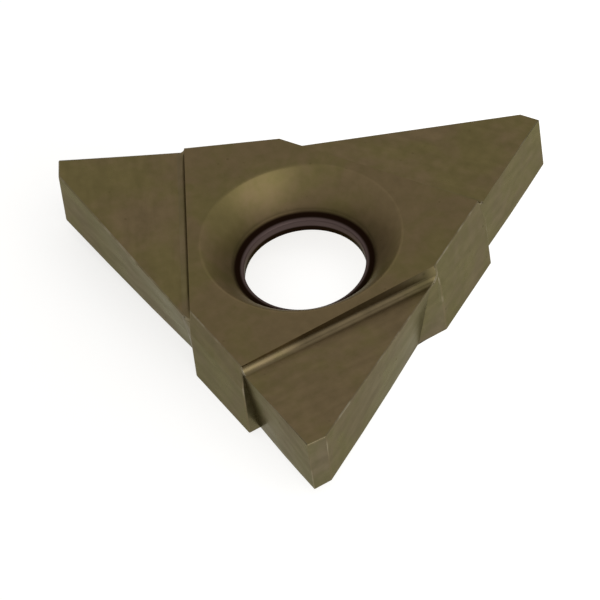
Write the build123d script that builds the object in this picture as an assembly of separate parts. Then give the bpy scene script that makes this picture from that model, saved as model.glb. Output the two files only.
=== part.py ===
from build123d import *
import math
import os

# Triangular indexable cutting insert in sintered carbide, in millimetres, +Z up.
#
# It is one pressed and ground piece, the same every third of a turn about the screw hole.
# The origin is the middle of the screw hole, half-way between the seat face and the land.
#
# The sides are numbered 0, 1 and 2 counter-clockwise. A place beside a side is given by how
# far it lies along the side, counter-clockwise from the side's middle, and how far out from
# the hole's axis. Going along a side there come the trailing flank of one tip, a ramp, the
# locating block, the block's end step and the leading flank of the next tip. Tip 0 stands
# between the end of side 0 and the start of side 1.

SIDES = 3
TURN_PER_SIDE = 360 / SIDES

# ---- driving dimensions ------------------------------------------------------------------
inscribed_circle = 9.525        # circle that touches the three block faces
thickness = 3.0                 # seat face to top land

# locating blocks: places along the side
block_start = 0.55              # where the ramp reaches the block's face
block_end = 3.78                # the block's square end
land_start = 0.55               # the same two ends, at the top land
land_end = 3.66
bevel_height = 0.95             # bevel on the block's upper edge
bevel_inset = 0.12
ramp_length = 0.94              # on the seat face
ramp_top_length = 0.60          # on the bevel, at the rake face
ramp_depth = 0.56               # from the block's face in to the flank, at the ramp's foot
end_step_depth = 0.43           # from the block's face in to the flank, at the square end

# cutting tips
nose_along_leading = 7.82       # nose corner of the leading flank, past the side's middle
nose_along_trailing = 7.44      # nose corner of the trailing flank, before its side's middle
nose_lean = 0.04                # how far the flanks lean in at the nose, over the thickness
rake_drop_nose = 0.11           # rake face below the top land, at three places
rake_drop_end_step = 0.24
rake_drop_ramp = 0.50
underside_rise = 0.76           # how far the underside has risen at the nose

# cove at the root of the wall between the rake face and the top land
cove_radius = 0.26

# screw hole, the same from both faces
hole_radius = 2.0
throat_length = 0.46            # straight wall in the middle
shoulder_radius = 2.33          # outer edge of the narrow shoulder round the throat
shoulder_height = 0.09
countersink_radius = 3.3        # at the two faces
countersink_bow = 0.06          # how far its wall bows into the hole
countersink_root = 0.30         # radius between the shoulder and the countersink

# ---- worked out from them ----------------------------------------------------------------
block_out = inscribed_circle / 2
top_z = thickness / 2
seat_z = -thickness / 2
bevel_z = top_z - bevel_height
ramp_foot = block_start - ramp_length
ramp_top = block_start - ramp_top_length
inside = block_end / 2          # safely inside the body, to close the tips there
reach = inscribed_circle        # longer than anything that is cut through


def place(side, along, out, z):
    """The point at one height that lies along and out from a side's middle."""
    return Vector(along, -out, z).rotate(Axis.Z, TURN_PER_SIDE * side)


def outline(points):
    """The flat face inside a closed line of points."""
    return make_face(Polyline(*points, close=True))


def all_round(shape):
    """The shape three times, once for each side."""
    return [shape.rotate(Axis.Z, TURN_PER_SIDE * side) for side in range(SIDES)]


# ---- body and locating blocks ------------------------------------------------------------
def block_outline(start, end, out, z):
    """Six-sided outline through the two ends of every block's face."""
    return outline([place(side, along, out, z) for side in range(SIDES) for along in (start, end)])


def bevel_plane(side):
    """The plane of a block's bevel, facing outwards."""
    return Plane(origin=place(side, 0, block_out, bevel_z), z_dir=place(side, 0, bevel_height, bevel_inset))


def make_body():
    """Straight-sided up to the bevel, then drawn in to the top land."""
    lower = extrude(block_outline(block_start, block_end, block_out, seat_z), thickness - bevel_height)
    bevelled = loft(
        [
            block_outline(block_start, block_end, block_out, bevel_z),
            block_outline(land_start, land_end, block_out - bevel_inset, top_z),
        ],
        ruled=True,
    )
    return lower + bevelled


# ---- cutting tips ------------------------------------------------------------------------
# The rake face is one plane through its three heights. It leans down from the nose to the
# body, and across the tip from the leading side to the trailing one.
rake_end_step = place(0, block_end, block_out, top_z - rake_drop_end_step)
rake_nose = place(0, nose_along_leading, block_out, top_z - rake_drop_nose)
rake_ramp = place(1, ramp_top, block_out, top_z - rake_drop_ramp)
rake = Plane(origin=rake_end_step, z_dir=(rake_nose - rake_end_step).cross(rake_ramp - rake_end_step))


def meet_rake(low, high):
    """Where the line from a low point up to a high one meets tip 0's rake face."""
    above_low = (low - rake.origin).dot(rake.z_dir)
    above_high = (high - rake.origin).dot(rake.z_dir)
    return low + (high - low) * (above_low / (above_low - above_high))


def on_rake(side, along, out):
    """The point of the rake face above a place beside a side."""
    return meet_rake(place(side, along, out, seat_z), place(side, along, out, top_z))


def rake_on_bevel(side, block_along, land_along):
    """Where the rake face meets a line up a bevel, from the bevel's lower edge to the land."""
    low = place(side, block_along, block_out, bevel_z)
    return meet_rake(low, place(side, land_along, block_out - bevel_inset, top_z))


# A wall stands between the rake face and the top land. Its root is the line between these.
root_start = rake_on_bevel(0, block_end, land_end)
root_end = rake_on_bevel(1, block_start, land_start)


def make_tip():
    """Tip 0: its two flanks twist from the seat's outline up to the rake face's edges."""
    nose_out = block_out - nose_lean
    seat_outline = outline([
        place(0, block_end, block_out - end_step_depth, seat_z),
        place(0, nose_along_leading, nose_out, seat_z),
        place(1, -nose_along_trailing, nose_out, seat_z),
        place(1, ramp_foot, block_out - ramp_depth, seat_z),
        place(1, block_start, block_out, seat_z),
        place(1, inside, inside, seat_z),
        place(0, inside, inside, seat_z),
    ])
    rake_outline = outline([
        root_start,
        on_rake(0, nose_along_leading, block_out),
        on_rake(1, -nose_along_trailing, block_out),
        rake_on_bevel(1, ramp_top, ramp_top),
        root_end,
        on_rake(1, inside, inside),
        on_rake(0, inside, inside),
    ])
    return loft([seat_outline, rake_outline], ruled=True) - make_underside_relief()


def make_underside_relief():
    """Wedge under tip 0, from the block's end step out past the nose."""
    slope = underside_rise / (nose_along_leading - block_end)
    wedge = Polyline(
        (block_end, seat_z),
        (block_end + reach, seat_z + slope * reach),
        (block_end + reach, seat_z - reach),
        (block_end, seat_z - reach),
        close=True,
    )
    return extrude(Plane.XZ * make_face(wedge), reach, both=True)


# ---- coves -------------------------------------------------------------------------------
def make_cove():
    """Cove of tip 0: one radius all along the wall's root, between the two bevels' planes."""
    root = root_end - root_start
    across = Plane(origin=root_start, x_dir=root.cross(rake.z_dir), z_dir=root)
    land = across.to_local_coords(place(0, land_end, block_out - bevel_inset, top_z))
    up_wall = Vector(land.X, land.Y).normalized()
    along_rake = Vector(1, 0)
    half_corner = math.radians(up_wall.get_angle(along_rake) / 2)
    tangent = cove_radius / math.tan(half_corner)
    hollow = cove_radius / math.sin(half_corner) - cove_radius
    middle = (up_wall + along_rake).normalized() * hollow
    buried = (up_wall + along_rake) * -tangent
    curve = ThreePointArc(up_wall * tangent, middle, along_rake * tangent)
    section = make_face(curve + Polyline(along_rake * tangent, buried, up_wall * tangent))
    cove = split(extrude(across * section, reach, both=True), bisect_by=rake, keep=Keep.TOP)
    for limit in (bevel_plane(0), bevel_plane(1), Plane.XY.offset(top_z)):
        cove = split(cove, bisect_by=limit, keep=Keep.BOTTOM)
    return cove


# ---- screw hole --------------------------------------------------------------------------
def make_hole():
    """The hole's space: a straight throat between two shoulders and two bowed countersinks."""
    throat_z = throat_length / 2
    shoulder_z = throat_z + shoulder_height
    bow = Vector(
        (shoulder_radius + countersink_radius) / 2 - countersink_bow,
        (shoulder_z + top_z) / 2 + countersink_bow,
    )
    profile = make_face([
        Line((hole_radius, 0), (hole_radius, throat_z)),
        Line((hole_radius, throat_z), (shoulder_radius, shoulder_z)),
        ThreePointArc((shoulder_radius, shoulder_z), bow, (countersink_radius, top_z)),
        Line((countersink_radius, top_z), (0, top_z)),
        Line((0, top_z), (0, 0)),
        Line((0, 0), (hole_radius, 0)),
    ])
    corner = profile.vertices().sort_by_distance((shoulder_radius, shoulder_z))[0]
    profile = fillet(corner, countersink_root)
    half = revolve(Plane.XZ * profile, Axis.Z)
    return half + mirror(half, about=Plane.XY)


# ---- the insert --------------------------------------------------------------------------
insert = make_body()
for tip in all_round(make_tip()):
    insert += tip
for cove in all_round(make_cove()):
    insert += cove
insert -= make_hole()

insert.label = "insert_body"
os.makedirs("parts", exist_ok=True)
export_step(insert, "parts/insert_body.step")

print("volume", round(insert.volume, 2), "cubic mm")
print("solids", len(insert.solids()), "faces", len(insert.faces()))
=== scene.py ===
# %% [markdown]
# # A coated carbide cutting insert, dressed in Blender
# The real insert is one piece of sintered carbide. It is pressed, ground on its tips and sides,
# honed along its edges and then coated. The solid comes with the frame, in metres, with the
# screw hole along Z and the seat face underneath. This lesson keeps every face where it is,
# gives the piece its honed edges and a smooth hole, and lays on the finish of each surface.

# %% Load the frame
import math
import bmesh
import bpy
import numpy as np
from mathutils import Matrix, Vector


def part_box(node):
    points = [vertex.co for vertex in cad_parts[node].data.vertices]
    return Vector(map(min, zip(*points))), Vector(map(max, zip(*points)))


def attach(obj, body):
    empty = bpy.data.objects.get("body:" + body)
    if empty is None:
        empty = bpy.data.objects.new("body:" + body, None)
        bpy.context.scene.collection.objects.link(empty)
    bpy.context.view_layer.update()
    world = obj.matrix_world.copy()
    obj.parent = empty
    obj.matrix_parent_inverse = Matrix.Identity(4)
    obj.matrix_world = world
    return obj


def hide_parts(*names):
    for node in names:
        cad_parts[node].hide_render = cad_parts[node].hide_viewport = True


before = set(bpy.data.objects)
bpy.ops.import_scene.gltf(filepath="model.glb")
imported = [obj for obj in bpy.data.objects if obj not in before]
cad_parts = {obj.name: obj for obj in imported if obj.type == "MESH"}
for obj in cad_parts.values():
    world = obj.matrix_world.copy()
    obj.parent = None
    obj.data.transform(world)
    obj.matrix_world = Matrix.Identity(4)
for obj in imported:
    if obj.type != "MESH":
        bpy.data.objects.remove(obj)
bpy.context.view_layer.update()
MM = 0.001
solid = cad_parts["insert_body"]
low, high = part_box("insert_body")
print("the insert measures", [round(size / MM, 2) for size in high - low], "mm")

# %% [markdown]
# ## The camera
# The insert is small and is seen from about 0.4 m through a long lens, so its far side is hardly
# smaller than its near one. The camera's place comes from three angles: round the piece, up from
# the floor, and a roll about the line of sight. The lens then follows from the width that has to
# fit, so the distance can change without changing the framing.

# %% Camera
view_azimuth, view_elevation, view_roll = (math.radians(angle) for angle in (63.46, 46.0, -8.29))
view_distance = 0.4
half_view = 9.8155 * MM         # half the width that has to fit
aim_right, aim_up = -0.333 * MM, 0.039 * MM     # where it looks, from the foot of the hole's axis
sensor_width = 36               # in mm, for a lens in mm
nearest_seen = 0.01             # in metres from the camera


def direction(azimuth, elevation):
    """The unit vector at that angle round Z from -Y towards +X, and that angle above the floor."""
    return Vector((
        math.sin(azimuth) * math.cos(elevation),
        -math.cos(azimuth) * math.cos(elevation),
        math.sin(elevation),
    ))


toward_camera = direction(view_azimuth, view_elevation)
level_right = direction(view_azimuth + math.pi / 2, 0)
level_up = toward_camera.cross(level_right)
image_right = math.cos(view_roll) * level_right + math.sin(view_roll) * level_up
image_up = toward_camera.cross(image_right)
aim = Vector((0, 0, low.z)) + aim_right * image_right + aim_up * image_up

camera_data = bpy.data.cameras.new("camera")
camera_data.sensor_width = sensor_width
camera_data.lens = sensor_width / 2 * view_distance / half_view
camera_data.clip_start = nearest_seen
camera = bpy.data.objects.new("camera", camera_data)
camera.location = aim + toward_camera * view_distance
camera.rotation_mode = "QUATERNION"
camera.rotation_quaternion = (
    Matrix((image_right, image_up, toward_camera)).transposed().to_quaternion()
)
bpy.context.collection.objects.link(camera)
bpy.context.scene.camera = camera
print("lens", round(camera_data.lens), "mm")

# %% [markdown]
# ## Light
# A dark coating shows little of its own colour and mirrors what stands around it. So the light is
# plain and wide: a pale sky from all sides, and one big softbox about twice as bright as the sky.
# It lights the far wall of the countersink and leaves a soft shade at the near one. The plain
# display curve keeps the pale floor pale.

# %% Sky and softbox
sky_colour, sky_strength = (1, 0.99, 0.97, 1), 0.75
softbox_radiance = 1.65
softbox_size = 0.5
softbox_distance = 0.5
softbox_direction = direction(math.radians(103), math.radians(45))

bpy.context.scene.view_settings.view_transform = "Standard"
sky = bpy.data.worlds.new("pale_sky")
sky.use_nodes = True
background = sky.node_tree.nodes["Background"]
background.inputs["Color"].default_value = sky_colour
background.inputs["Strength"].default_value = sky_strength
bpy.context.scene.world = sky


def softbox(name, towards, distance, size, radiance):
    """A round lamp facing the piece. Its power is radiance times pi times its area."""
    lamp_data = bpy.data.lights.new(name, "AREA")
    lamp_data.shape = "DISK"
    lamp_data.size = size
    lamp_data.energy = radiance * math.pi * math.pi * (size / 2) ** 2
    lamp = bpy.data.objects.new(name, lamp_data)
    lamp.location = towards * distance
    lamp.rotation_mode = "QUATERNION"
    lamp.rotation_quaternion = towards.to_track_quat("Z", "Y")
    bpy.context.collection.objects.link(lamp)
    print(name, "gives", round(lamp_data.energy, 2), "W")


softbox("softbox", softbox_direction, softbox_distance, softbox_size, softbox_radiance)

# %% [markdown]
# ## Reading the solid's faces
# The frame's mesh is triangles, and a material or a bevel needs to know which face of the real
# piece a triangle belongs to. One could guess that from angles, but a shallow bevel and a gentle
# curve look alike. The mesh shares points inside a face and not across its edges, so triangles
# that hang together by their points are one face. The label of each point spreads to its
# neighbours until nothing changes.

# %% Faces of the solid
def read(items, name, width, kind=float):
    """One property of all the items, as an array with that many columns."""
    values = np.empty(len(items) * width, dtype=kind)
    items.foreach_get(name, values)
    return values.reshape(-1, width) if width > 1 else values


def hanging_together(triangles, point_count):
    """For each triangle, the lowest point that can be reached from it along shared points."""
    label = np.arange(point_count)
    while True:
        spread = label.copy()
        np.minimum.at(spread, triangles, label[triangles].min(axis=1, keepdims=True))
        if (spread == label).all():
            return label[triangles[:, 0]]
        label = spread


points = read(solid.data.vertices, "co", 3)
corners = read(solid.data.polygons, "vertices", 3, int)
face_labels = hanging_together(corners, len(points))
print("the solid has", len(np.unique(face_labels)), "faces")

# %% [markdown]
# ## Sorting the faces by how they were made
# The top land, the seat face and the hole are as pressed and sintered. The rake faces were
# plunge-ground, by a wheel that ran along the root of each tip, and its rim left the cove and the
# wall behind. The flanks, the blocks and the reliefs under the tips were ground from the outside.
# Each face's mean normal, height and distance from the hole's axis tell which kind it is.

# %% Kinds of face
LAND, HOLE, RAKE, COVE, SIDE, HONED = range(6)
smallest_area = 1e-15           # square metres; keeps the division safe


def face_measures(triangles, labels):
    """Each triangle's face number, then each face's mean normal, mean height and widest radius.
    A triangle's cross product is twice its area along its normal, so the sums weigh by area."""
    ends = points[triangles]
    crossed = np.cross(ends[:, 1] - ends[:, 0], ends[:, 2] - ends[:, 0])
    area = np.linalg.norm(crossed, axis=1)
    names, which = np.unique(labels, return_inverse=True)
    total = np.zeros((len(names), 3))
    np.add.at(total, which, crossed)
    normal = total / np.maximum(np.linalg.norm(total, axis=1, keepdims=True), smallest_area)
    height = np.bincount(which, area * ends[:, :, 2].mean(axis=1)) / np.bincount(which, area)
    radius = np.zeros(len(names))
    np.maximum.at(radius, which, np.hypot(ends[:, :, 0], ends[:, :, 1]).max(axis=1))
    return which, normal, height, radius


face_of, face_normal, face_height, face_radius = face_measures(corners, face_labels)
hole_reach = 3.5 * MM           # a face that stays inside this radius belongs to the hole
wall_height = 1.2 * MM          # a steep face with its middle above it is a wall
cove_level = 0.3                # the least that a cove's normal has along Z
rake_level = 0.97               # the same of a rake face
flat_level = 0.9999             # the same of the land, and downwards of the seat face

upwards = face_normal[:, 2]
face_kind = np.full(len(face_normal), SIDE)
face_kind[(upwards > cove_level) | (face_height > wall_height)] = COVE
face_kind[upwards > rake_level] = RAKE
face_kind[np.abs(upwards) > flat_level] = LAND
face_kind[face_radius < hole_reach] = HOLE
for kind, name in (
    (LAND, "land"), (HOLE, "hole"), (RAKE, "rake"), (COVE, "cove or wall"), (SIDE, "side"),
):
    print((face_kind == kind).sum(), "faces of the kind", name)

# %% [markdown]
# ## The screw hole
# The hole is a straight throat between two narrow shoulders and two countersinks whose walls bow
# a little into the hole. In the frame's mesh it has facets, and they would show on the bright
# edge of the throat. A round hole is one profile carried round an axis, so it is worked out again
# from its radii. The corners get their small radii by a moving mean along the profile: wide at
# the countersink's root, narrow where an edge was only honed.

# %% Profile of the hole
same_place = 0.001 * MM         # measures that differ by less are the same
shoulder_radius, shoulder_height = 2.33 * MM, 0.09 * MM
wall_bow = 0.06 * MM
root_reach = 0.10 * MM          # how far the root's radius reaches each way along the profile
hone_reach = 0.035 * MM         # the same at an edge that was only honed
flat_margin = 0.06 * MM         # ring of flat land that belongs to the hole's surface
profile_spacing = 0.03 * MM
wall_points, window_points = 40, 15

hole_points = points[corners[face_kind[face_of] == HOLE]].reshape(-1, 3)
hole_radii = np.hypot(hole_points[:, 0], hole_points[:, 1])
throat_radius, countersink_radius = hole_radii.min(), hole_radii.max()
throat_end = hole_points[hole_radii < throat_radius + same_place, 2].max()


def polyline_at(line, lengths):
    """Points at those lengths along a polyline: each coordinate is interpolated by length."""
    steps = np.linalg.norm(np.diff(line, axis=0), axis=1)
    reached = np.concatenate([[0], np.cumsum(steps)])
    return np.stack([np.interp(lengths, reached, line[:, axis]) for axis in range(2)], axis=-1)


def hole_profile(spacing):
    """Radius and height from the throat's middle up to the land.
    The wall is the straight line between its ends plus 4 t (1 - t) times its bow. Then each
    point becomes the mean of the line over a window that reaches as far as its corner's radius."""
    t = np.linspace(0, 1, wall_points)[:, None]
    foot = np.array([shoulder_radius, throat_end + shoulder_height])
    rim = np.array([countersink_radius, high.z])
    wall = foot + (rim - foot) * t + 4 * t * (1 - t) * np.array([-wall_bow, wall_bow])
    below = np.array([[throat_radius, -flat_margin], [throat_radius, throat_end]])
    beyond = rim + np.array([[2 * flat_margin, 0]])
    line = np.vstack([below, wall, beyond])
    steps = np.linalg.norm(np.diff(line, axis=0), axis=1)
    whole = steps.sum()
    foot_length = steps[:2].sum()
    count = int((whole - 2 * flat_margin) / spacing)
    lengths = np.linspace(flat_margin, whole - flat_margin, count)
    near_root = np.exp(-((lengths - foot_length) / root_reach) ** 2)
    reach = hone_reach + (root_reach - hone_reach) * near_root
    window = np.linspace(-1, 1, window_points)
    return polyline_at(line, lengths[:, None] + reach[:, None] * window).mean(axis=1)


half_profile = hole_profile(profile_spacing)
whole_profile = np.vstack([half_profile[:0:-1] * [1, -1], half_profile])
print("the hole's profile has", len(whole_profile), "points, throat radius",
      round(throat_radius / MM, 3), "mm")

# %% Hole surface
round_steps = 192


def revolved(profile, steps):
    """Grid of a profile carried round Z: (radius cos a, radius sin a, height), a going round once.
    The quads join each ring to the next and face the axis."""
    angle = np.arange(steps) * (2 * math.pi / steps)
    radius, height = profile[:, 0, None], profile[:, 1, None]
    grid = np.stack(np.broadcast_arrays(
        radius * np.cos(angle), radius * np.sin(angle), height,
    ), axis=-1)
    here = np.arange(len(profile) - 1)[:, None] * steps + np.arange(steps)
    beside = np.arange(len(profile) - 1)[:, None] * steps + (np.arange(steps) + 1) % steps
    quads = np.stack([here, here + steps, beside + steps, beside], axis=-1)
    return grid.reshape(-1, 3), quads.reshape(-1, 4)


hole_grid, hole_quads = revolved(whole_profile, round_steps)
print("the hole's surface has", len(hole_quads), "quads")

# %% [markdown]
# ## The outer shell
# The rest of the piece keeps the solid's own points. A bevel needs clean faces, so a copy of the
# frame's triangles is merged, and the triangles of each flat face become one. The two flat faces
# round the hole are filled again, because their inner edge is now the hole's fine ring.

# %% Merge the shell and the hole
weld = 0.0002 * MM              # points closer than this become one


def mesh_of(name, shell_triangles, shell_faces):
    """A mesh of the shell's triangles and the hole's quads, with each face's number on it."""
    made = bpy.data.meshes.new(name)
    quads = hole_quads + len(points)
    made.from_pydata(
        np.vstack([points, hole_grid]), [], [*shell_triangles.tolist(), *quads.tolist()]
    )
    number = made.attributes.new("solid_face", "INT", "FACE")
    hole_face = np.flatnonzero(face_kind == HOLE)[0]
    number.data.foreach_set(
        "value", np.concatenate([shell_faces, np.full(len(quads), hole_face)]).astype(np.int32)
    )
    return made


shell_part = np.isin(face_kind[face_of], (RAKE, COVE, SIDE))
insert_mesh = mesh_of("insert", corners[shell_part], face_of[shell_part])
shell = bmesh.new()
shell.from_mesh(insert_mesh)
face_number = shell.faces.layers.int["solid_face"]
bmesh.ops.remove_doubles(shell, verts=shell.verts, dist=weld)
unused_points = [vert for vert in shell.verts if not vert.link_faces]
bmesh.ops.delete(shell, geom=unused_points, context="VERTS")

for height, normal_z in ((high.z, 1), (low.z, -1)):
    rims = [
        edge for edge in shell.edges
        if edge.is_boundary and all(abs(vert.co.z - height) < same_place for vert in edge.verts)
    ]
    filled = bmesh.ops.triangle_fill(
        shell, use_beauty=True, edges=rims, normal=(0, 0, normal_z)
    )
    flat_face = np.flatnonzero((face_kind == LAND) & (upwards * normal_z > 0))[0]
    for face in filled["geom"]:
        if isinstance(face, bmesh.types.BMFace):
            face[face_number] = int(flat_face)
print("open edges left:", sum(not edge.is_manifold for edge in shell.edges))

# %% Make each flat face one
flat_spread = math.radians(0.05)    # triangles that turn less than this make one flat face


def within_one_face(edge):
    """True where the two faces at an edge are parts of the same face of the solid."""
    return len({face[face_number] for face in edge.link_faces}) == 1


inner_edges = [
    edge for edge in shell.edges
    if within_one_face(edge) and face_kind[edge.link_faces[0][face_number]] != HOLE
]
outer_points = [
    vert for vert in shell.verts
    if any(face_kind[face[face_number]] != HOLE for face in vert.link_faces)
]
bmesh.ops.dissolve_limit(shell, angle_limit=flat_spread, edges=inner_edges, verts=outer_points)
bmesh.ops.recalc_face_normals(shell, faces=shell.faces)
print("the shell has", len(shell.faces), "faces")

# %% [markdown]
# ## Honed edges
# A brush rounds the cutting edges before coating, by a few hundredths of a millimetre. Without it
# a rendered edge has no width and catches no light. Bevel does this exactly, where smoothing or a
# remesh would soften the flat faces too. Only edges that stand out are honed, and the brush does
# not reach the edge between a tip's wall and the land. The strip that a bevel makes gets a finish
# of its own, because the coating is thinnest there.

# %% Hone the outer edges
hone_width = 0.045 * MM
hone_steps = 3
honed_from = math.radians(20)   # an edge that turns less stays as it is

for face in shell.faces:
    face.smooth = True
    face.material_index = int(face_kind[face[face_number]])


def is_honed(edge):
    """True for an edge that stands out, is not on the hole and is not the top of a wall."""
    if within_one_face(edge) or edge.calc_face_angle_signed() < honed_from:
        return False
    kinds = {face.material_index for face in edge.link_faces}
    return HOLE not in kinds and kinds != {LAND, COVE}


outer_edges = [edge for edge in shell.edges if is_honed(edge)]
bmesh.ops.bevel(
    shell, geom=outer_edges, affect="EDGES", offset=hone_width, offset_type="OFFSET",
    segments=hone_steps, profile=0.5, clamp_overlap=False, loop_slide=True, material=HONED,
)
shell.to_mesh(insert_mesh)
shell.free()
print(len(outer_edges), "edges honed, the mesh has", len(insert_mesh.polygons), "faces")

# %% [markdown]
# ## Shading normals
# A flat ground face has to look flat up to the hone, and the hone has to turn smoothly from one
# face to the next. Smooth shading alone would bend the light over the whole flat face. So each
# face's corners take the mean normal of their own face only, weighed by area, and the hone's
# corners take the normal of the face that they touch. A rake face, its cove and its wall run into
# each other, so they share their normals, and the hole's quads share theirs.

# %% Normals of the corners
corner_point = read(insert_mesh.loops, "vertex_index", 1, int)
corners_each = read(insert_mesh.polygons, "loop_total", 1, int)
corner_face = np.repeat(np.arange(len(corners_each)), corners_each)
finish = read(insert_mesh.polygons, "material_index", 1, int)
number_of = read(insert_mesh.attributes["solid_face"].data, "value", 1, int)
weighed = read(insert_mesh.polygons, "normal", 3) * read(insert_mesh.polygons, "area", 1)[:, None]
run_together = np.where(finish == COVE, RAKE, finish)
own_shading = np.where(finish == SIDE, HONED + 1 + number_of, run_together)


def summed(keys, vectors):
    """For each row, the sum of the vectors of all rows with the same key."""
    _, which = np.unique(keys, return_inverse=True)
    total = np.zeros((which.max() + 1, 3))
    np.add.at(total, which, vectors)
    return total[which]


point_count = len(insert_mesh.vertices)
corner_normal = summed(own_shading[corner_face] * point_count + corner_point, weighed[corner_face])
ground = (finish != HONED)[corner_face, None]
touched = summed(corner_point, weighed[corner_face] * ground)
on_edge = ~ground[:, 0] & (np.linalg.norm(touched, axis=1) > 0)
corner_normal[on_edge] = touched[on_edge]
corner_normal /= np.linalg.norm(corner_normal, axis=1, keepdims=True)
insert_mesh.normals_split_custom_set(corner_normal)
print(on_edge.sum(), "corners of the hone take the normal of a ground face")

# %% [markdown]
# ## Which way the grinding lines run
# A grinding wheel leaves fine lines along its path: round the outside on the sides, and along the
# root on the rake faces, coves and walls. A UV map holds that. U is the distance along the lines
# and V the distance across them, both in millimetres, so the material can stretch one noise along
# U on every face.

# %% Lay of the lines
first_tip = math.radians(-24)   # where the middle of the first tip stands round the hole
tip_turn = math.radians(120)
nearly_level = 0.01             # a normal that leans less than this counts as upright


def level_lines(normals):
    """The level direction in each face, square to its normal, or X where the face is level."""
    level_line = np.stack([-normals[:, 1], normals[:, 0], 0 * normals[:, 2]], axis=1)
    length = np.linalg.norm(level_line, axis=1, keepdims=True)
    unit_line = level_line / np.maximum(length, nearly_level)
    return np.where(length > nearly_level, unit_line, [1.0, 0, 0])


middle = read(insert_mesh.polygons, "center", 3)
tip = np.round((np.arctan2(middle[:, 1], middle[:, 0]) - first_tip) / tip_turn)
root_line = np.stack([-np.sin(tip * tip_turn), np.cos(tip * tip_turn), 0 * tip], axis=1)
along_root = np.isin(finish, (RAKE, COVE))[:, None]
face_lay = np.where(along_root, root_line, level_lines(face_normal)[number_of])
face_across = np.cross(face_normal[number_of], face_lay)
place = read(insert_mesh.vertices, "co", 3)[corner_point] / MM
lay = np.stack([
    (place * face_lay[corner_face]).sum(axis=1), (place * face_across[corner_face]).sum(axis=1),
], axis=1)
lay_map = insert_mesh.uv_layers.new(name="lay")
lay_map.data.foreach_set("uv", lay.ravel())
print("the lay map spans", lay.min(axis=0).round(1), "to", lay.max(axis=0).round(1), "mm")

# %% [markdown]
# ## Helpers for the finishes
# The finishes of this piece share their effects: the coating's uneven tone, the grain of the
# sintered carbide, the grinding lines and the wear. Each effect is a node group that is built
# once, and each material places it with its own values. Small helpers keep the node code short:
# the first adds a node and joins its inputs, the others stand for one node or one habit each.

# %% Node helpers
def add(tree, kind, feeds=None, **settings):
    """A new node with those settings. A feed is another node's output, or a value to set."""
    made = tree.nodes.new("ShaderNode" + kind)
    for name, value in settings.items():
        setattr(made, name, value)
    for socket, source in (feeds or {}).items():
        if isinstance(source, bpy.types.NodeSocket):
            tree.links.new(source, made.inputs[socket])
        else:
            made.inputs[socket].default_value = source
    return made


def maths(tree, operation, *values):
    """The output of a Math node."""
    return add(tree, "Math", dict(enumerate(values)), operation=operation).outputs[0]


def ramped(tree, value, start, end):
    """A value turned into a share: 0 up to the start, 1 beyond the end, smooth between them."""
    feeds = {"Value": value, "From Min": start, "From Max": end}
    return add(tree, "MapRange", feeds, interpolation_type="SMOOTHSTEP").outputs["Result"]


def mixed(tree, factor, first, second):
    """Two colours mixed. The colour sockets of a Mix node are its inputs 6 and 7."""
    return add(tree, "Mix", {0: factor, 6: first, 7: second}, data_type="RGBA").outputs[2]


def scaled(tree, vector, factor):
    """A vector or a colour times one value."""
    return add(tree, "VectorMath", {0: vector, "Scale": factor}, operation="SCALE").outputs[0]


def along(tree, vector, line):
    """How far a vector reaches along a fixed unit line."""
    feeds = {0: vector, 1: tuple(line)}
    return add(tree, "VectorMath", feeds, operation="DOT_PRODUCT").outputs["Value"]


def noise(tree, vector, scale, detail, distortion=0.0):
    """The value of a noise texture, with that many features per unit of the vector."""
    feeds = {"Vector": vector, "Scale": scale, "Detail": detail, "Distortion": distortion}
    return add(tree, "TexNoise", feeds).outputs["Fac"]


def group(name, inputs, outputs):
    """A new node group, its tree's group input and its group output."""
    tree = bpy.data.node_groups.new(name, "ShaderNodeTree")
    for socket, kind in inputs.items():
        tree.interface.new_socket(socket, in_out="INPUT", socket_type="NodeSocket" + kind)
    for socket, kind in outputs.items():
        tree.interface.new_socket(socket, in_out="OUTPUT", socket_type="NodeSocket" + kind)
    return tree, tree.nodes.new("NodeGroupInput"), tree.nodes.new("NodeGroupOutput")


def in_millimetres(tree):
    """The object's own coordinates, in millimetres."""
    return scaled(tree, add(tree, "TexCoord").outputs["Object"], 1 / MM)


def shader_of(material):
    """The shader that every new material starts with."""
    return material.node_tree.nodes["Principled BSDF"]


def colour_into(shader):
    """The output that feeds the shader's Base Color."""
    return shader.inputs["Base Color"].links[0].from_socket


print("node helpers ready")

# %% [markdown]
# ## The coating's tone
# The vapour-deposited coating is a few thousandths of a millimetre thick and never quite even, so
# it drifts between olive and brown over two or three millimetres, with a finer mottle inside. An
# image would do, but two noises of different size mixed into one factor need no unwrapping and
# stay sharp at any distance.

# %% Group: coating tone
tone, given, result = group(
    "coating_tone",
    {"Olive": "Color", "Brown": "Color", "Patch": "Float", "Mottle": "Float"},
    {"Color": "Color", "Mask": "Float"},
)
mottle_per_patch = 7.0          # how much finer the mottle is than the patches
mottle_share = 0.25             # its share in the drift between the two colours
olive_to, brown_from = 0.38, 0.62

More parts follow.
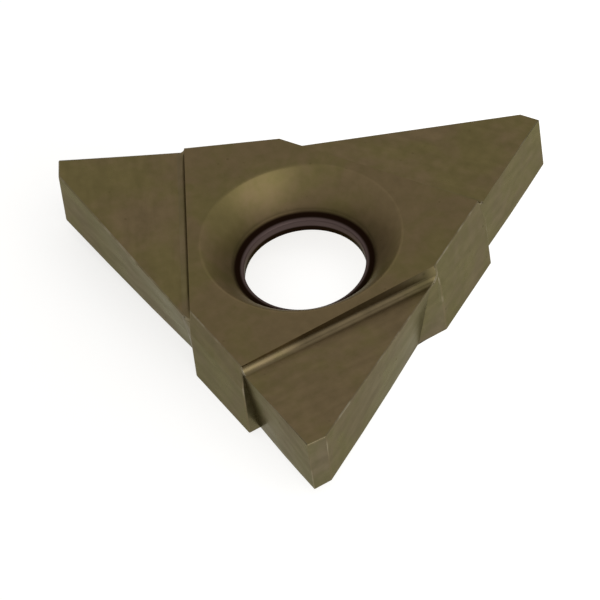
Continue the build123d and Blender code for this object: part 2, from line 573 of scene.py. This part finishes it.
here = in_millimetres(tone)
patches_per_mm = maths(tone, "DIVIDE", 1.0, given.outputs["Patch"])
mottles_per_mm = maths(tone, "DIVIDE", mottle_per_patch, given.outputs["Patch"])
broad = noise(tone, here, patches_per_mm, detail=2.0, distortion=0.6)
fine = noise(tone, here, mottles_per_mm, detail=4.0)
broad_part = maths(tone, "MULTIPLY", broad, 1 - mottle_share)
both = maths(tone, "MULTIPLY_ADD", fine, mottle_share, broad_part)
drift = ramped(tone, both, olive_to, brown_from)
hue = mixed(tone, drift, given.outputs["Olive"], given.outputs["Brown"])
off_the_mean = maths(tone, "SUBTRACT", fine, 0.5)
shade = maths(tone, "MULTIPLY_ADD", off_the_mean, given.outputs["Mottle"], 1.0)
tone.links.new(scaled(tone, hue, shade), result.inputs["Color"])
tone.links.new(drift, result.inputs["Mask"])
print("group", tone.name, "with", len(tone.nodes), "nodes")

# %% [markdown]
# ## Sintered grain
# Carbide is hard powder pressed and fused, and the coating follows it: a fine even grain with a
# few open pores. Fine noise gives the grain, and the cells of a Voronoi texture give round pores.
# Both go out as one height, for a Bump node in the material, and the pores also as a mask.

# %% Group: sintered grain
grain, given, result = group(
    "sintered_grain", {"Grains per mm": "Float"}, {"Height": "Float", "Pores": "Float"}
)
cells_per_mm = 2.2
pore_share = 0.30               # how many of the cells hold a pore
pore_rim, pore_floor = 0.16, 0.05   # in cell widths from the pore's middle

here = in_millimetres(grain)
fine = noise(grain, here, given.outputs["Grains per mm"], detail=3.0)
cells = add(grain, "TexVoronoi", {"Vector": here, "Scale": cells_per_mm})
chance = add(grain, "SeparateColor", {0: cells.outputs["Color"]}).outputs[0]
pore_here = maths(grain, "LESS_THAN", chance, pore_share)
pore_depth = ramped(grain, cells.outputs["Distance"], pore_rim, pore_floor)
pore = maths(grain, "MULTIPLY", pore_depth, pore_here)
grain.links.new(maths(grain, "SUBTRACT", fine, pore), result.inputs["Height"])
grain.links.new(pore, result.inputs["Pores"])
print("group", grain.name, "with", len(grain.nodes), "nodes")

# %% [markdown]
# ## Grinding lines
# The lines of a fine wheel are a few hundredths of a millimetre apart, all along the wheel's path
# and none quite alike. Noise that is stretched along U of the lay map gives them: slow along, fast
# across. A second, wider noise makes the broad streaks where the wheel was dressed unevenly.

# %% Group: grinding lines
lines, given, result = group(
    "grinding_lines", {"Lines per mm": "Float"}, {"Height": "Float", "Streaks": "Float"}
)
line_pace, streak_pace = 0.02, 0.25     # how fast each noise runs along U, against across it
streaks_per_mm = 2.4
plain_to, streaked_from = 0.3, 0.7


def stretched(tree, pace):
    """The lay map's coordinates, with U slowed to that pace."""
    lay_here = add(tree, "UVMap", uv_map="lay").outputs["UV"]
    return add(tree, "Mapping", {"Vector": lay_here, "Scale": (pace, 1.0, 1.0)}).outputs["Vector"]


line = noise(lines, stretched(lines, line_pace), given.outputs["Lines per mm"], detail=2.0)
streak = noise(lines, stretched(lines, streak_pace), streaks_per_mm, detail=3.0, distortion=0.3)
lines.links.new(line, result.inputs["Height"])
lines.links.new(ramped(lines, streak, plain_to, streaked_from), result.inputs["Streaks"])
print("group", lines.name, "with", len(lines.nodes), "nodes")

# %% [markdown]
# ## Wear
# Where an edge is brushed the coating is thinner and rubs lighter in places. A mask could be
# painted along the edges, but wear is never a clean line, and noise with a threshold comes out
# broken up by itself. The amount of wear moves the threshold.

# %% Group: rubbed patches
rubbed, given, result = group(
    "rubbed_patches", {"Patches per mm": "Float", "Amount": "Float"}, {"Mask": "Float"}
)
worn_from, worn_to = -0.05, 0.15    # below and above the threshold

here = in_millimetres(rubbed)
spots = noise(rubbed, here, given.outputs["Patches per mm"], detail=5.0, distortion=0.4)
threshold = maths(rubbed, "SUBTRACT", 1.0, given.outputs["Amount"])
over = maths(rubbed, "SUBTRACT", spots, threshold)
rubbed.links.new(ramped(rubbed, over, worn_from, worn_to), result.inputs["Mask"])
print("group", rubbed.name, "with", len(rubbed.nodes), "nodes")

# %% [markdown]
# ## The finishes
# A coated metal mirrors its surroundings in its own colour, so every finish is metallic, and the
# finishes differ in tone, in roughness and in what stands on the surface. One function builds a
# material: the tone feeds Base Color, the grain and the lines feed one Bump node each, the tone and
# the pores vary the roughness, and the streaks vary both.

# %% A coated finish
GRAZING_TINT = (0.60, 0.58, 0.50, 1)    # what a rough coating still mirrors at a grazing angle
patch_size, mottle_strength = 2.4, 0.35
grains_per_mm, rubs_per_mm = 26.0, 1.3
brown_rougher = 0.06            # how much rougher a brown patch is than an olive one
pore_rougher = 0.25
streak_smoother = 0.08
streak_brighter = 0.12          # how much brighter a streak is than the lines beside it


def place_group(tree, node_group, **values):
    """A group node with its inputs set by name, where an underscore stands for a space."""
    placed = add(tree, "Group", node_tree=node_group)
    for name, value in values.items():
        placed.inputs[name.replace("_", " ")].default_value = value
    return placed


def coated(name, olive, brown, roughness, grain_depth=0.0006, line_depth=0.0,
           lines_per_mm=30.0, worn=0.0, worn_colour=None):
    """A coated finish. Depths are in millimetres. Without a depth there are no lines."""
    made = bpy.data.materials.new(name)
    made.use_nodes = True
    tree, shader = made.node_tree, shader_of(made)
    shader.inputs["Metallic"].default_value = 1.0
    shader.inputs["Specular Tint"].default_value = GRAZING_TINT
    coat = place_group(
        tree, tone, Olive=olive, Brown=brown, Patch=patch_size, Mottle=mottle_strength
    )
    colour, mask = coat.outputs["Color"], coat.outputs["Mask"]
    sinter = place_group(tree, grain, Grains_per_mm=grains_per_mm)
    bump = add(tree, "Bump", {
        "Height": sinter.outputs["Height"], "Distance": grain_depth * MM, "Strength": 1.0,
    })
    rough = maths(tree, "MULTIPLY_ADD", mask, brown_rougher, roughness - brown_rougher / 2)
    rough = maths(tree, "MULTIPLY_ADD", sinter.outputs["Pores"], pore_rougher, rough)
    if line_depth:
        ground_lines = place_group(tree, lines, Lines_per_mm=lines_per_mm)
        streaks = ground_lines.outputs["Streaks"]
        bump = add(tree, "Bump", {
            "Height": ground_lines.outputs["Height"], "Distance": line_depth * MM,
            "Strength": 1.0, "Normal": bump.outputs["Normal"],
        })
        rough = maths(tree, "MULTIPLY_ADD", streaks, -streak_smoother, rough)
        brightness = maths(tree, "MULTIPLY_ADD", streaks, streak_brighter, 1 - streak_brighter / 2)
        colour = scaled(tree, colour, brightness)
    if worn:
        wear = place_group(tree, rubbed, Patches_per_mm=rubs_per_mm, Amount=worn)
        colour = mixed(tree, wear.outputs["Mask"], colour, worn_colour)
    tree.links.new(colour, shader.inputs["Base Color"])
    tree.links.new(rough, shader.inputs["Roughness"])
    tree.links.new(bump.outputs["Normal"], shader.inputs["Normal"])
    print("finish", name, "with", len(tree.nodes), "nodes")
    return made


print("a finish drifts over patches of", patch_size, "mm")

# %% Land, rake, side and hone
OLIVE, BROWN = (0.138, 0.111, 0.046, 1), (0.148, 0.108, 0.056, 1)
RAKE_OLIVE, RAKE_BROWN = (0.143, 0.115, 0.048, 1), (0.153, 0.112, 0.059, 1)
SIDE_OLIVE, SIDE_BROWN = (0.122, 0.108, 0.056, 1), (0.130, 0.106, 0.066, 1)
HONE_OLIVE, HONE_BROWN = (0.140, 0.118, 0.064, 1), (0.146, 0.116, 0.070, 1)
RUBBED_THIN = (0.22, 0.19, 0.13, 1)

land_finish = coated("sintered_land", OLIVE, BROWN, roughness=0.42, grain_depth=0.0010)
rake_finish = coated(
    "ground_rake", RAKE_OLIVE, RAKE_BROWN, roughness=0.38,
    grain_depth=0.0004, line_depth=0.0007, lines_per_mm=22.0,
)
side_finish = coated(
    "ground_side", SIDE_OLIVE, SIDE_BROWN, roughness=0.36,
    grain_depth=0.0004, line_depth=0.0006,
)
hone_finish = coated(
    "honed_edge", HONE_OLIVE, HONE_BROWN, roughness=0.36, worn=0.5, worn_colour=RUBBED_THIN,
)

# %% [markdown]
# ## The cove
# The wheel's rim wears first, so the coves and walls come out a little rougher than the rake faces.
# Along the middle of the first tip's root, in the crease under its wall, shade is painted: the
# colour is darkened there. U of the lay map is the distance along the root, so two ramps on it keep
# the painted shade off both ends. The height over that tip's rake face keeps it off the face
# itself, and the distance along X keeps it off the other two tips.

# %% Finish of the cove
COVE_OLIVE, COVE_BROWN = (0.143, 0.117, 0.054, 1), (0.152, 0.116, 0.064, 1)
painted_shade_leaves = 0.48           # how much of the colour is left under the painted shade
from_end_step = (-3.1, -2.2)    # unshaded to painted shade, in mm along U, coming from the end step
from_ramp = (2.8, 2.3)          # and coming from the ramp
first_tip_only = (2.4, 2.8)     # unshaded to painted shade, in mm along X
over_the_face = (0.012, 0.042)  # unshaded to painted shade, in mm over the rake face's plane

rake_faces = np.flatnonzero(face_kind == RAKE)
first_rake = max(rake_faces, key=lambda face: points[corners[face_of == face]][:, :, 0].mean())
rake_normal = face_normal[first_rake]
rake_height = (points[corners[face_of == first_rake]] @ rake_normal).mean() / MM

cove_finish = coated(
    "ground_cove", COVE_OLIVE, COVE_BROWN, roughness=0.42, grain_depth=0.0006, line_depth=0.0007,
)
cove_tree, cove_shader = cove_finish.node_tree, shader_of(cove_finish)
cove_lay = add(cove_tree, "UVMap", uv_map="lay").outputs["UV"]
along_u = add(cove_tree, "SeparateXYZ", {0: cove_lay}).outputs["X"]
cove_place = in_millimetres(cove_tree)
along_x = add(cove_tree, "SeparateXYZ", {0: cove_place}).outputs["X"]
over_rake = maths(cove_tree, "SUBTRACT", along(cove_tree, cove_place, rake_normal), rake_height)
painted_shade_middle = maths(
    cove_tree, "MULTIPLY",
    ramped(cove_tree, along_u, *from_end_step), ramped(cove_tree, along_u, *from_ramp),
)
on_first_tip = maths(
    cove_tree, "MULTIPLY",
    ramped(cove_tree, along_x, *first_tip_only), ramped(cove_tree, over_rake, *over_the_face),
)
# painted shade: the cove's colour darkened along the middle of the first tip's root
cove_root_painted_shade = maths(cove_tree, "MULTIPLY", painted_shade_middle, on_first_tip)
left_of_colour = maths(cove_tree, "MULTIPLY_ADD", cove_root_painted_shade, painted_shade_leaves - 1, 1.0)
cove_colour = scaled(cove_tree, colour_into(cove_shader), left_of_colour)
cove_tree.links.new(cove_colour, cove_shader.inputs["Base Color"])
print("the residue reaches", round(from_ramp[0] - from_end_step[0], 1), "mm along the root")

# %% [markdown]
# ## Inside the hole
# The pressed wall of the hole is coated like the rest. The narrow shoulder, the wall's root and
# the lower half of the throat lie deep in the hole, and their shade is painted: their colour is
# darkened almost to black. The throat between them is a dull grey-brown. The distance from the axis
# and the height tell these places apart, so this finish is the coated one, less metallic and with
# its colour darkened by smooth ramps.

# %% Finish of the hole
PAINTED_SHADE_BLACK, THROAT_GREY = (0.009, 0.004, 0.002, 1), (0.085, 0.060, 0.056, 1)
edge, lower_end = shoulder_radius / MM, -throat_end / MM
painted_shade_to_coated = (edge - 0.06, edge + 0.10)            # in mm from the hole's axis
painted_shade_to_grey = (edge - 0.18, edge - 0.27)              # the same, going inwards
lower_painted_shade_to_grey = (lower_end + 0.18, lower_end + 0.26)     # in mm along Z

hole_finish = coated("pressed_hole", OLIVE, BROWN, roughness=0.40, grain_depth=0.0008)
hole_tree, hole_shader = hole_finish.node_tree, shader_of(hole_finish)
hole_shader.inputs["Metallic"].default_value = 0.65
hole_shader.inputs["Specular IOR Level"].default_value = 0.0
on_piece = add(hole_tree, "SeparateXYZ", {0: in_millimetres(hole_tree)})
from_axis = maths(hole_tree, "SQRT", maths(
    hole_tree, "ADD",
    maths(hole_tree, "MULTIPLY", on_piece.outputs["X"], on_piece.outputs["X"]),
    maths(hole_tree, "MULTIPLY", on_piece.outputs["Y"], on_piece.outputs["Y"]),
))
wall_share = ramped(hole_tree, from_axis, *painted_shade_to_coated)
throat_share = maths(
    hole_tree, "MULTIPLY",
    ramped(hole_tree, from_axis, *painted_shade_to_grey),
    ramped(hole_tree, on_piece.outputs["Z"], *lower_painted_shade_to_grey),
)
# painted shade: the shoulder, the wall's root and the throat's lower end darkened almost to black
inner = mixed(hole_tree, throat_share, PAINTED_SHADE_BLACK, THROAT_GREY)
hole_colour = mixed(hole_tree, wall_share, inner, colour_into(hole_shader))
hole_tree.links.new(hole_colour, hole_shader.inputs["Base Color"])
print("the coating is whole from", round(painted_shade_to_coated[1], 2), "mm outwards")

# %% [markdown]
# ## The piece in the frame
# The finished mesh stands for the solid's node, so the node is hidden and the piece rides on its
# body. The materials go in the order of the kinds of face, because each face already holds its
# kind as its material number.

# %% Place the piece
for made in (land_finish, hole_finish, rake_finish, cove_finish, side_finish, hone_finish):
    insert_mesh.materials.append(made)
insert = bpy.data.objects.new("honed_insert", insert_mesh)
bpy.context.collection.objects.link(insert)
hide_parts("insert_body")
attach(insert, "root")
print("the piece has", sum(len(face.vertices) - 2 for face in insert_mesh.polygons), "triangles")

# %% [markdown]
# ## The floor
# A light table under a sheet of matt white card, as small parts are often shown on. The card glows,
# so the piece's sides mirror it evenly and the hole stays bright. Its lamp stands to the right, so
# the glow falls off a little from right to left under the piece.

# %% Floor
floor_reach = 0.6
card_colour, card_roughness = (0.33, 0.33, 0.327, 1), 0.9
glow_left, glow_right = (0.70, 0.697, 0.690, 1), (0.93, 0.926, 0.916, 1)
glow_reach = 9.0                # mm from the middle to where the glow is even again

floor_mesh = bpy.data.meshes.new("floor")
floor_mesh.from_pydata(
    [(x * floor_reach, y * floor_reach, low.z) for x, y in ((-1, -1), (1, -1), (1, 1), (-1, 1))],
    [], [(0, 1, 2, 3)],
)
card = bpy.data.materials.new("white_card")
card.use_nodes = True
card_tree, card_shader = card.node_tree, shader_of(card)
card_shader.inputs["Roughness"].default_value = card_roughness
card_shader.inputs["Base Color"].default_value = card_colour
card_shader.inputs["Emission Strength"].default_value = 1.0
to_the_right = along(card_tree, in_millimetres(card_tree), level_right)
right_share = ramped(card_tree, to_the_right, -glow_reach, glow_reach)
glow = mixed(card_tree, right_share, glow_left, glow_right)
card_tree.links.new(glow, card_shader.inputs["Emission Color"])
floor_mesh.materials.append(card)
floor = bpy.data.objects.new("floor", floor_mesh)
bpy.context.collection.objects.link(floor)
print("floor at", round(low.z / MM, 2), "mm")
